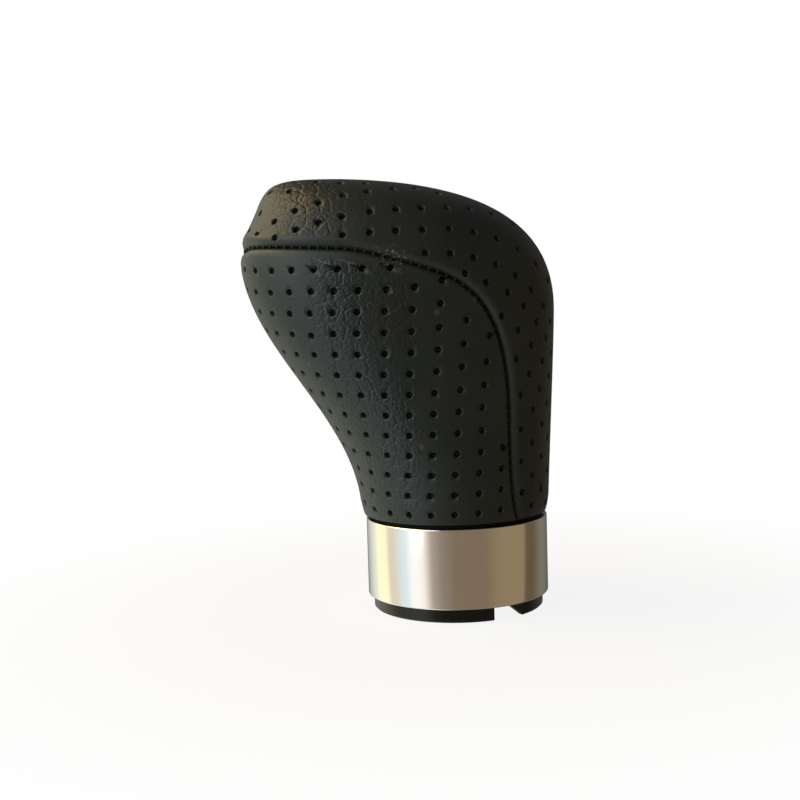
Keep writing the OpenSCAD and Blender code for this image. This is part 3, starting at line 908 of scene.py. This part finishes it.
class Sheet:
    """A node tree that is written one node at a time."""

    def __init__(self, tree: NodeTree) -> None:
        """Starts on a tree."""
        self.tree = tree

    def node(self, kind: str, inputs: dict | None = None, **settings: object) -> Node:
        """Adds a node.

        Args:
            kind: Its Blender type.
            inputs: Values or sockets by input name or number.
            settings: Its own properties.

        Returns:
            The node.
        """
        made = self.tree.nodes.new(kind)
        for key, value in settings.items():
            setattr(made, key, value)
        self.feed(made.inputs, inputs or {})
        return made

    def feed(self, inputs: NodeInputs, given: dict) -> None:
        """Fills a node's inputs.

        Args:
            inputs: The inputs.
            given: Values or sockets by input name or number.
        """
        for key, value in given.items():
            if isinstance(value, NodeSocket):
                self.tree.links.new(value, inputs[key])
            else:
                inputs[key].default_value = value

    def maths(self, operation: str, *values: object, limit: bool = False) -> NodeSocket:
        """Returns the result of a Math node on sockets or numbers."""
        given = dict(enumerate(values))
        return self.node("ShaderNodeMath", given, operation=operation, use_clamp=limit).outputs[0]

    def times(self, a: object, b: object) -> NodeSocket:
        """Returns the product of two sockets or numbers."""
        return self.maths("MULTIPLY", a, b)

    def ramp(self, value: object, low: object, high: object, to: tuple = (0.0, 1.0)) -> NodeSocket:
        """Returns a value mapped smoothly from one range to another."""
        given = {"Value": value, "From Min": low, "From Max": high, "To Min": to[0], "To Max": to[1]}
        return self.node("ShaderNodeMapRange", given, interpolation_type="SMOOTHSTEP").outputs["Result"]

    def mix(self, factor: object, a: object, b: object) -> NodeSocket:
        """Returns a colour mixed from a to b."""
        return self.node("ShaderNodeMix", {0: factor, 6: a, 7: b}, data_type="RGBA").outputs[2]

    def place(self) -> NodeSocket:
        """Returns the place on the piece, in metres."""
        return self.node("ShaderNodeTexCoord").outputs["Object"]

    def noise(self, place: object, scale: object, detail: float) -> NodeOutputs:
        """Returns the outputs of a noise of the given fineness."""
        return self.node("ShaderNodeTexNoise", {"Vector": place, "Scale": scale, "Detail": detail}).outputs

    def cracks(self, place: object, scale: object) -> NodeSocket:
        """Returns the distance to the nearest edge between cells."""
        given = {"Vector": place, "Scale": scale}
        return self.node("ShaderNodeTexVoronoi", given, feature="DISTANCE_TO_EDGE").outputs["Distance"]

    def relief(self, height: object, strength: float, depth: float) -> NodeSocket:
        """Returns the normal of a face with a relief of the given depth in metres."""
        given = {"Height": height, "Strength": strength, "Distance": depth}
        return self.node("ShaderNodeBump", given).outputs[0]


def shader_group(name: str, inputs: dict, outputs: tuple) -> tuple[Sheet, NodeOutputs, NodeInputs]:
    """Starts a shader node group.

    Args:
        name: Name of the group.
        inputs: Default value of each float input, by name.
        outputs: Names of its outputs, all numbers.

    Returns:
        The group's sheet, what it is given and what it hands out.
    """
    tree = bpy.data.node_groups.new(name, "ShaderNodeTree")
    for key, value in inputs.items():
        tree.interface.new_socket(key, in_out="INPUT", socket_type="NodeSocketFloat").default_value = value
    for key in outputs:
        tree.interface.new_socket(key, in_out="OUTPUT", socket_type="NodeSocketFloat")
    sheet = Sheet(tree)
    return sheet, sheet.node("NodeGroupInput").outputs, sheet.node("NodeGroupOutput").inputs


@dataclass(frozen=True)
class LeatherGrain:
    """Sizes of the leather's pebbles and creases; a scale is a number of cells in a metre."""

    stir: tuple = (0.0011, 0.0011, 0.0011)
    stir_scale: float = 420.0
    fold_scale: float = 380.0
    patch_scale: float = 55.0
    pore_scale: float = 3200.0
    pebble_edge: float = 0.3
    fold_edge: float = 0.14
    patch_span: tuple = (0.32, 0.6)
    patch_depth: tuple = (0.35, 1.0)
    smooth_lip: float = 0.5
    pebble_height: float = 0.08
    coarse_height: float = 0.4
    pore_height: float = 0.14

    def make(self) -> None:
        """Makes the node group: a height, and masks of creases, coarse leather and seam."""
        sheet, given, out = shader_group(
            "leather_grain", {"Pebbles": 900.0, "From": -0.03, "To": 0.0, "Edge": 0.005,
                              "Elsewhere": 0.1, "Folds": 0.5}, ("Height", "Creases", "Coarse", "Lip"))
        place = sheet.place()
        bent = sheet.node("ShaderNodeVectorMath", {0: sheet.noise(place, self.stir_scale, 3.0)["Color"],
                                                   1: self.stir}, operation="MULTIPLY").outputs[0]
        where = sheet.node("ShaderNodeVectorMath", {0: place, 1: bent}, operation="ADD").outputs[0]
        pebble = sheet.ramp(sheet.cracks(where, given["Pebbles"]), 0.0, self.pebble_edge)
        fold = sheet.ramp(sheet.cracks(where, self.fold_scale), 0.0, self.fold_edge)
        across = sheet.node("ShaderNodeSeparateXYZ", {0: place}).outputs[0]
        begun = sheet.ramp(across, given["From"], sheet.maths("ADD", given["From"], given["Edge"]))
        left = sheet.ramp(across, given["To"], sheet.maths("ADD", given["To"], given["Edge"]), (1.0, 0.0))
        zone = sheet.maths("MAXIMUM", sheet.times(begun, left), given["Elsewhere"])
        lip = sheet.node("ShaderNodeAttribute", attribute_name="seam_near").outputs["Fac"]
        zone = sheet.times(zone, sheet.ramp(lip, 0.0, self.smooth_lip, (1.0, 0.0)))
        patch = sheet.noise(place, self.patch_scale, 2.0)["Fac"]
        coarse = sheet.times(sheet.ramp(patch, *self.patch_span, self.patch_depth), zone)
        pores = sheet.times(sheet.noise(place, self.pore_scale, 2.0)["Fac"], self.pore_height)
        rise = sheet.maths("MULTIPLY_ADD", coarse, self.coarse_height, self.pebble_height)
        deep = sheet.times(sheet.maths("SUBTRACT", fold, 1.0), sheet.times(coarse, given["Folds"]))
        height = sheet.maths("ADD", sheet.times(pebble, rise), sheet.maths("ADD", deep, pores))
        creases = sheet.times(sheet.maths("SUBTRACT", 1.0, pebble), coarse)
        sheet.feed(out, {"Height": height, "Creases": creases, "Coarse": coarse, "Lip": lip})


def speck_group() -> None:
    """Makes small scattered marks, such as dust and rubbed spots, as a mask."""
    sheet, given, out = shader_group("specks", {"Scale": 300.0, "Amount": 0.1}, ("Mask",))
    dots = sheet.node("ShaderNodeTexVoronoi", {"Vector": sheet.place(), "Scale": given["Scale"]})
    rare = sheet.node("ShaderNodeSeparateColor", {0: dots.outputs["Color"]}).outputs[0]
    chosen = sheet.maths("LESS_THAN", rare, given["Amount"])
    core = sheet.ramp(dots.outputs["Distance"], 0.05, 0.22, (1.0, 0.0))
    sheet.feed(out, {"Mask": sheet.times(chosen, core)})


def scuff_group() -> None:
    """Makes the frayed fibres at the bend of the near seam, as a mask."""
    sheet, given, out = shader_group("scuffs", {"Reach": 0.005}, ("Mask",))
    place = sheet.place()
    away = sheet.node("ShaderNodeVectorMath", {0: place, 1: FRAYED_SPOT}, operation="DISTANCE")
    near = sheet.ramp(away.outputs["Value"], 0.0, given["Reach"], (1.0, 0.0))
    strands = sheet.ramp(sheet.noise(place, 1900.0, 2.0)["Fac"], 0.58, 0.66)
    sheet.feed(out, {"Mask": sheet.times(strands, near)})


def streak_group() -> None:
    """Makes fine uneven tone, such as brushing or mould flow, stretched round or along the part."""
    sheet, given, out = shader_group("streaks", {"Scale": 200.0, "Round": 1.0, "Up": 1.0}, ("Tone",))
    part = sheet.node("ShaderNodeSeparateXYZ", {0: sheet.place()}).outputs
    axes = {k: sheet.times(part[k], given[name]) for k, name in enumerate(("Round", "Round", "Up"))}
    stretched = sheet.node("ShaderNodeCombineXYZ", axes).outputs[0]
    sheet.feed(out, {"Tone": sheet.noise(stretched, given["Scale"], 4.0)["Fac"]})


def toned(colour: tuple, factor: float, lift: float = 0.0) -> tuple:
    """Returns a colour made lighter or darker, with full opacity."""
    return tuple(c * factor + lift for c in colour[:3]) + (1.0,)


@dataclass(frozen=True)
class Finish:
    """A finish that becomes one material."""

    name: str

    def build(self) -> Material:
        """Returns the material."""
        material = bpy.data.materials.new(self.name)
        material.use_nodes = True
        sheet = Sheet(material.node_tree)
        sheet.feed(material.node_tree.nodes["Principled BSDF"].inputs, self.surface(sheet))
        return material

    def surface(self, sheet: Sheet) -> dict:
        """Lays out what the shader gets.

        Args:
            sheet: The material's sheet.

        Returns:
            Values and sockets by input name.
        """
        raise NotImplementedError

    def group(self, sheet: Sheet, name: str, **values: float) -> NodeOutputs:
        """Places a shared node group and returns its outputs."""
        return sheet.node("ShaderNodeGroup", values, node_tree=bpy.data.node_groups[name]).outputs


@dataclass(frozen=True)
class LeatherFinish(Finish):
    """Dark perforated leather, with painted sheen along the seam's lip and painted shade in its creases."""

    zone: CreasedZone
    colour: tuple = (0.0066, 0.0108, 0.0108, 1.0)
    rubbed: tuple = (0.0112, 0.0156, 0.0150, 1.0)
    fibres: tuple = (0.32, 0.33, 0.31, 1.0)
    # How much lighter the painted sheen on the lip by the seam is
    lip_sheen: float = 1.2
    crease_shade: float = 0.45
    pebbles: float = 950.0
    folds: float = 0.6
    elsewhere: float = 0.08
    roughness: float = 0.44
    bump: float = 0.5
    depth: float = 0.00022
    dust: tuple = (0.2, 0.2, 0.18, 1.0)
    tint: tuple = (0.82, 0.96, 1.0, 1.0)
    level: float = 0.5

    def surface(self, sheet: Sheet) -> dict:
        """Lays out what the shader gets.

        Args:
            sheet: The material's sheet.

        Returns:
            Values and sockets by input name.
        """
        start, end, edge = (v * MM for v in self.zone.value)
        grain = self.group(sheet, "leather_grain", Pebbles=self.pebbles, From=start, To=end, Edge=edge,
                           Elsewhere=self.elsewhere, Folds=self.folds)
        dust = self.group(sheet, "specks", Scale=260.0, Amount=0.02)
        tone = self.group(sheet, "streaks", Scale=70.0, Round=1.0, Up=1.0)
        base = sheet.mix(sheet.ramp(tone["Tone"], 0.35, 0.7), self.colour, self.rubbed)
        # Painted highlight: the leather by the seam is coloured lighter to stand for the sheen on its rolled
        # lip
        base = sheet.mix(sheet.ramp(grain["Lip"], 0.3, 0.75), base, toned(self.rubbed, self.lip_sheen))
        # Painted shade: the leather is coloured darker in the creases of its grain
        base = sheet.mix(sheet.times(grain["Creases"], 0.8), base, toned(self.colour, self.crease_shade))
        base = sheet.mix(sheet.times(dust["Mask"], 0.2), base, self.dust)
        frayed = self.group(sheet, "scuffs", Reach=0.0052)
        base = sheet.mix(sheet.times(frayed["Mask"], grain["Lip"]), base, self.fibres)
        rough = sheet.maths("MULTIPLY_ADD", grain["Coarse"], -0.06, self.roughness)
        return {"Base Color": base, "Roughness": sheet.maths("MULTIPLY_ADD", tone["Tone"], 0.12, rough),
                "Normal": sheet.relief(grain["Height"], self.bump, self.depth),
                "Specular IOR Level": self.level, "Specular Tint": self.tint}


@dataclass(frozen=True)
class ThreadFinish(Finish):
    """Twisted thread."""

    colour: tuple = (0.028, 0.028, 0.027, 1.0)
    shade: tuple = (0.012, 0.012, 0.012, 1.0)

    def surface(self, sheet: Sheet) -> dict:
        """Lays out what the shader gets.

        Args:
            sheet: The material's sheet.

        Returns:
            Values and sockets by input name.
        """
        tone = self.group(sheet, "streaks", Scale=2500.0, Round=1.0, Up=0.4)
        return {"Base Color": sheet.mix(tone["Tone"], self.colour, self.shade), "Roughness": 0.8,
                "Normal": sheet.relief(tone["Tone"], 0.6, 0.0001)}


@dataclass(frozen=True)
class MetalFinish(Finish):
    """Metal with fine brushing and slight clouding."""

    colour: tuple = (0.8, 0.79, 0.77, 1.0)
    shade: tuple = (0.72, 0.7, 0.66, 1.0)
    roughness: float = 0.28
    uneven: float = 0.1
    brushing: float = 0.1

    def surface(self, sheet: Sheet) -> dict:
        """Lays out what the shader gets.

        Args:
            sheet: The material's sheet.

        Returns:
            Values and sockets by input name.
        """
        brushed = self.group(sheet, "streaks", Scale=240.0, Round=1.0, Up=1.0)
        cloud = self.group(sheet, "streaks", Scale=60.0, Round=1.0, Up=1.0)
        least = self.roughness - self.uneven / 2
        return {"Base Color": sheet.mix(cloud["Tone"], self.colour, self.shade), "Metallic": 1.0,
                "Roughness": sheet.maths("MULTIPLY_ADD", brushed["Tone"], self.uneven, least),
                "Normal": sheet.relief(brushed["Tone"], self.brushing, 0.0001)}


@dataclass(frozen=True)
class PlasticFinish(Finish):
    """Moulded plastic or rubber."""

    colour: tuple = (0.012, 0.012, 0.012, 1.0)
    roughness: float = 0.35
    texture: float = 0.15
    level: float = 0.5

    def surface(self, sheet: Sheet) -> dict:
        """Lays out what the shader gets.

        Args:
            sheet: The material's sheet.

        Returns:
            Values and sockets by input name.
        """
        grain = self.group(sheet, "streaks", Scale=1500.0, Round=1.0, Up=1.0)
        tone = self.group(sheet, "streaks", Scale=120.0, Round=1.0, Up=1.0)
        dust = self.group(sheet, "specks", Scale=420.0, Amount=0.02)
        base = sheet.mix(tone["Tone"], self.colour, toned(self.colour, 1.5, 0.004))
        base = sheet.mix(sheet.times(dust["Mask"], 0.2), base, (0.3, 0.3, 0.28, 1.0))
        return {"Base Color": base, "Specular IOR Level": self.level,
                "Roughness": sheet.maths("MULTIPLY_ADD", tone["Tone"], 0.12, self.roughness - 0.05),
                "Normal": sheet.relief(grain["Tone"], self.texture, 0.0001)}


@dataclass
class HiddenParts:
    """The CAD nodes that keep their shape and get a finish."""

    finishes: dict = field(default_factory=lambda: {
        "core_left_half": PlasticFinish("core_plastic", (0.06, 0.06, 0.062, 1.0), 0.5, 0.2),
        "core_right_half": "core_left_half",
        "core_screws": MetalFinish("plated_steel", (0.6, 0.6, 0.62, 1.0), (0.5, 0.5, 0.5, 1.0), 0.3, 0.1),
        "circlip": "core_screws",
        "lock_clip": "core_screws",
        "neck_bushing": PlasticFinish("bushing_plastic", (0.014, 0.014, 0.015, 1.0), 0.45, 0.2),
        "lever_socket": MetalFinish("socket_steel", (0.5, 0.5, 0.51, 1.0), (0.4, 0.4, 0.4, 1.0), 0.38, 0.2),
        "lever_damper": PlasticFinish("damper_rubber", (0.01, 0.01, 0.01, 1.0), 0.7, 0.3),
        "trim_ring": PlasticFinish("trim_plastic", (0.002, 0.002, 0.002, 1.0), 0.75, 0.1, 0.15),
        "lock_sleeve": PlasticFinish("sleeve_plastic", (0.0045, 0.005, 0.005, 1.0), 0.2, 0.08, 0.3),
    })

    def dress(self, nodes: dict) -> None:
        """Gives each CAD node its finish.

        Args:
            nodes: The frame's nodes by name.
        """
        made: dict = {}
        for name, finish in self.finishes.items():
            made[name] = made[finish] if isinstance(finish, str) else finish.build()
            for slot in nodes[name].material_slots:
                slot.material = made[name]
            LOG.info("%s: finished as %s", name, made[name].name)


@dataclass(frozen=True)
class SoftBox:
    """A rectangular lamp that faces the part."""

    name: str
    azimuth: float
    elevation: float
    distance: float
    width: float
    height: float
    radiance: float
    tint: tuple = (1.0, 1.0, 1.0)

    def build(self, target: Vector) -> Object:
        """Places the lamp.

        Args:
            target: The point that it faces, in metres.

        Returns:
            The lamp's object.
        """
        a, e = math.radians(self.azimuth), math.radians(self.elevation)
        away = Vector((math.sin(a) * math.cos(e), -math.cos(a) * math.cos(e), math.sin(e)))
        light = bpy.data.lights.new(self.name, "AREA")
        light.shape = "RECTANGLE"
        light.size, light.size_y = self.width, self.height
        light.energy = self.radiance * math.pi * self.width * self.height
        light.color = self.tint
        lamp = bpy.data.objects.new(self.name, light)
        lamp.location = target + away * self.distance
        lamp.rotation_euler = away.to_track_quat("Z", "Y").to_euler()
        lamp.visible_camera = False
        bpy.context.scene.collection.objects.link(lamp)
        return lamp


@dataclass(frozen=True)
class Wall:
    """A stretch of the surroundings: azimuths in degrees to the right of the near side."""

    start: float
    end: float
    colour: tuple


@dataclass(frozen=True)
class Surroundings:
    """What glossy faces reflect: windows at the left, brown and olive walls at the right."""

    brightness: float = 1.3
    overhead: tuple = (0.13, 0.13, 0.13, 1.0)
    walls: tuple = (
        Wall(-180.0, -172.0, (0.13, 0.13, 0.12)),
        Wall(-134.0, -131.0, (0.76, 0.76, 0.72)),
        Wall(-124.0, -103.0, (1.0, 1.0, 0.68)),
        Wall(-99.0, -90.0, (0.74, 0.66, 0.5)),
        Wall(-75.0, -71.0, (0.71, 0.84, 0.88)),
        Wall(-63.0, -55.0, (0.98, 1.0, 1.0)),
        Wall(-50.0, -47.0, (1.0, 0.93, 0.85)),
        Wall(-35.0, -33.0, (0.38, 0.32, 0.27)),
        Wall(-22.0, -20.0, (0.25, 0.21, 0.17)),
        Wall(-6.0, 32.0, (0.205, 0.155, 0.105)),
        Wall(54.0, 90.0, (0.27, 0.21, 0.12)),
        Wall(93.0, 108.0, (0.125, 0.09, 0.055)),
        Wall(126.0, 136.0, (0.18, 0.166, 0.13)),
        Wall(172.0, 180.0, (0.07, 0.07, 0.07)),
    )

    def seen(self, sheet: Sheet) -> NodeSocket:
        """Paints the surroundings by direction, dimmer overhead.

        Args:
            sheet: The world's sheet.

        Returns:
            Their colour.
        """
        way = sheet.node("ShaderNodeTexCoord").outputs["Generated"]
        part = sheet.node("ShaderNodeSeparateXYZ", {0: way}).outputs
        turn = sheet.maths("ARCTAN2", part[0], sheet.times(part[1], -1.0))
        band = sheet.node("ShaderNodeValToRGB", {0: sheet.maths("MULTIPLY_ADD", turn, 1.0 / math.tau, 0.5)})
        stops = band.color_ramp.elements
        for wall in self.walls:
            for azimuth in (wall.start, wall.end):
                place = azimuth / 360.0 + 0.5
                stop = stops[0] if place <= 0.0 else stops[-1] if place >= 1.0 else stops.new(place)
                stop.color = (*wall.colour, 1.0)
        return sheet.mix(sheet.ramp(part[2], 0.3, 0.75), band.outputs[0], self.overhead)


@dataclass
class Studio:
    """Floor, background, lamps and the camera at the photograph's place."""

    target: tuple = (-0.0118, 0.0, 0.0457)
    camera_distance: float = 0.2745
    camera_pitch: float = 4.57
    camera_roll: float = 1.69
    focal_in_widths: float = 1241.0 / 800.0
    sensor: float = 36.0
    floor_colour: tuple = (0.9, 0.9, 0.9, 1.0)
    floor_roughness: float = 0.7
    floor_size: float = 6.0
    fade_from: float = 0.03
    fade_to: float = 0.15
    near_white: float = 0.88
    ambient: float = 0.08
    sky: tuple = (0.95, 0.97, 1.0, 1.0)
    surroundings: Surroundings = Surroundings()
    lamps: tuple = (
        SoftBox("key_window", -96.0, 46.0, 0.75, 0.42, 0.5, 5.4, (1.0, 0.68, 0.28)),
        SoftBox("left_window", -76.0, 28.0, 0.7, 0.34, 0.32, 1.6, (0.97, 1.0, 0.97)),
        SoftBox("front_window", -52.0, 8.0, 0.7, 0.12, 0.36, 5.6, (1.0, 1.0, 0.96)),
        SoftBox("front_high_window", -38.0, 34.0, 0.7, 0.2, 0.3, 3.0, (1.0, 1.0, 0.96)),
        SoftBox("left_rear_window", -128.0, 30.0, 0.7, 0.28, 0.34, 1.1, (1.0, 0.93, 0.7)),
    )

    def camera(self) -> None:
        """Places the camera where the photograph was taken."""
        p, r = math.radians(self.camera_pitch), math.radians(self.camera_roll)
        ahead = Vector((0.0, math.cos(p), -math.sin(p)))
        level_up = Vector((0.0, math.sin(p), math.cos(p)))
        right = Vector((math.cos(r), 0.0, 0.0)) - level_up * math.sin(r)
        up = Vector((math.sin(r), 0.0, 0.0)) + level_up * math.cos(r)
        data = bpy.data.cameras.new("camera")
        data.sensor_width = self.sensor
        data.lens = self.sensor * self.focal_in_widths
        data.clip_start = 0.01
        cam = bpy.data.objects.new("camera", data)
        turn = Matrix((right, up, -ahead)).transposed().to_4x4()
        cam.matrix_world = Matrix.Translation(Vector(self.target) - ahead * self.camera_distance) @ turn
        bpy.context.scene.collection.objects.link(cam)
        bpy.context.scene.camera = cam

    def looked_at(self, sheet: Sheet) -> NodeSocket:
        """Returns 1 where the camera looks straight at a face, or through glass, and 0 elsewhere."""
        path = sheet.node("ShaderNodeLightPath").outputs
        return sheet.maths("ADD", path["Is Camera Ray"], path["Is Transmission Ray"], limit=True)

    def floor(self) -> None:
        """Lays a pale floor that turns into the white background away from the part."""
        bm = bmesh.new()
        bmesh.ops.create_grid(bm, x_segments=1, y_segments=1, size=self.floor_size)
        mesh = bpy.data.meshes.new("floor")
        bm.to_mesh(mesh)
        bm.free()
        plane = bpy.data.objects.new("floor", mesh)
        bpy.context.scene.collection.objects.link(plane)
        material = bpy.data.materials.new("pale_floor")
        material.use_nodes = True
        sheet = Sheet(material.node_tree)
        nodes = material.node_tree.nodes
        shader = nodes["Principled BSDF"]
        sheet.feed(shader.inputs, {"Base Color": self.floor_colour, "Roughness": self.floor_roughness})
        away = sheet.node("ShaderNodeVectorMath", {0: sheet.place()}, operation="LENGTH").outputs["Value"]
        fade = sheet.ramp(away, self.fade_from, self.fade_to, (self.near_white, 1.0))
        white = sheet.node("ShaderNodeEmission", {"Color": WHITE, "Strength": 1.0})
        share = sheet.times(fade, self.looked_at(sheet))
        both = sheet.node("ShaderNodeMixShader", {0: share, 1: shader.outputs[0], 2: white.outputs[0]})
        sheet.feed(nodes["Material Output"].inputs, {"Surface": both.outputs[0]})
        mesh.materials.append(material)
        plane.visible_glossy = False

    def world(self) -> None:
        """Makes the world white to the eye and soft for the part."""
        world = bpy.data.worlds.new("studio")
        bpy.context.scene.world = world
        world.use_nodes = True
        sheet = Sheet(world.node_tree)
        white = self.looked_at(sheet)
        glossy = sheet.node("ShaderNodeLightPath").outputs["Is Glossy Ray"]
        tone = sheet.mix(glossy, self.sky, self.surroundings.seen(sheet))
        level = sheet.maths("MULTIPLY_ADD", glossy, self.surroundings.brightness - self.ambient, self.ambient)
        strength = sheet.maths("MULTIPLY_ADD", white, sheet.maths("SUBTRACT", 1.0, level), level)
        sheet.feed(world.node_tree.nodes["Background"].inputs,
                   {"Color": sheet.mix(white, tone, WHITE), "Strength": strength})

    def build(self) -> None:
        """Sets up the whole stage."""
        self.camera()
        self.floor()
        self.world()
        for lamp in self.lamps:
            lamp.build(Vector(self.target))
        bpy.context.scene.view_settings.view_transform = "Standard"


def main() -> None:
    """Builds and dresses the knob and its stage."""
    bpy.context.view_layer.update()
    Studio().build()
    for make in (LeatherGrain().make, speck_group, scuff_group, streak_group):
        make()
    shape = GripShape()
    punched = Perforations(shape)
    side_finish = LeatherFinish("side_leather", CreasedZone.FRONT_BAND)
    top_finish = LeatherFinish("top_leather", CreasedZone.NOSE, colour=(0.0074, 0.0096, 0.0092, 1.0),
                               tint=(0.82, 0.94, 1.0, 1.0), level=0.46, lip_sheen=1.5,
                               bump=0.75, pebbles=740.0, folds=0.85)
    SidePanel(shape, side_finish.build(), holes=punched.side_holes()).build()
    TopStrip(shape, top_finish.build(), holes=punched.strip_holes()).build()
    SeamStitches(shape, ThreadFinish("stitch_thread").build()).build()
    Collar(MetalFinish("satin_collar", roughness=0.13, uneven=0.04, brushing=0.015).build()).build()
    HiddenParts().dress(frame["nodes"])


if __name__ == "__main__":
    main()
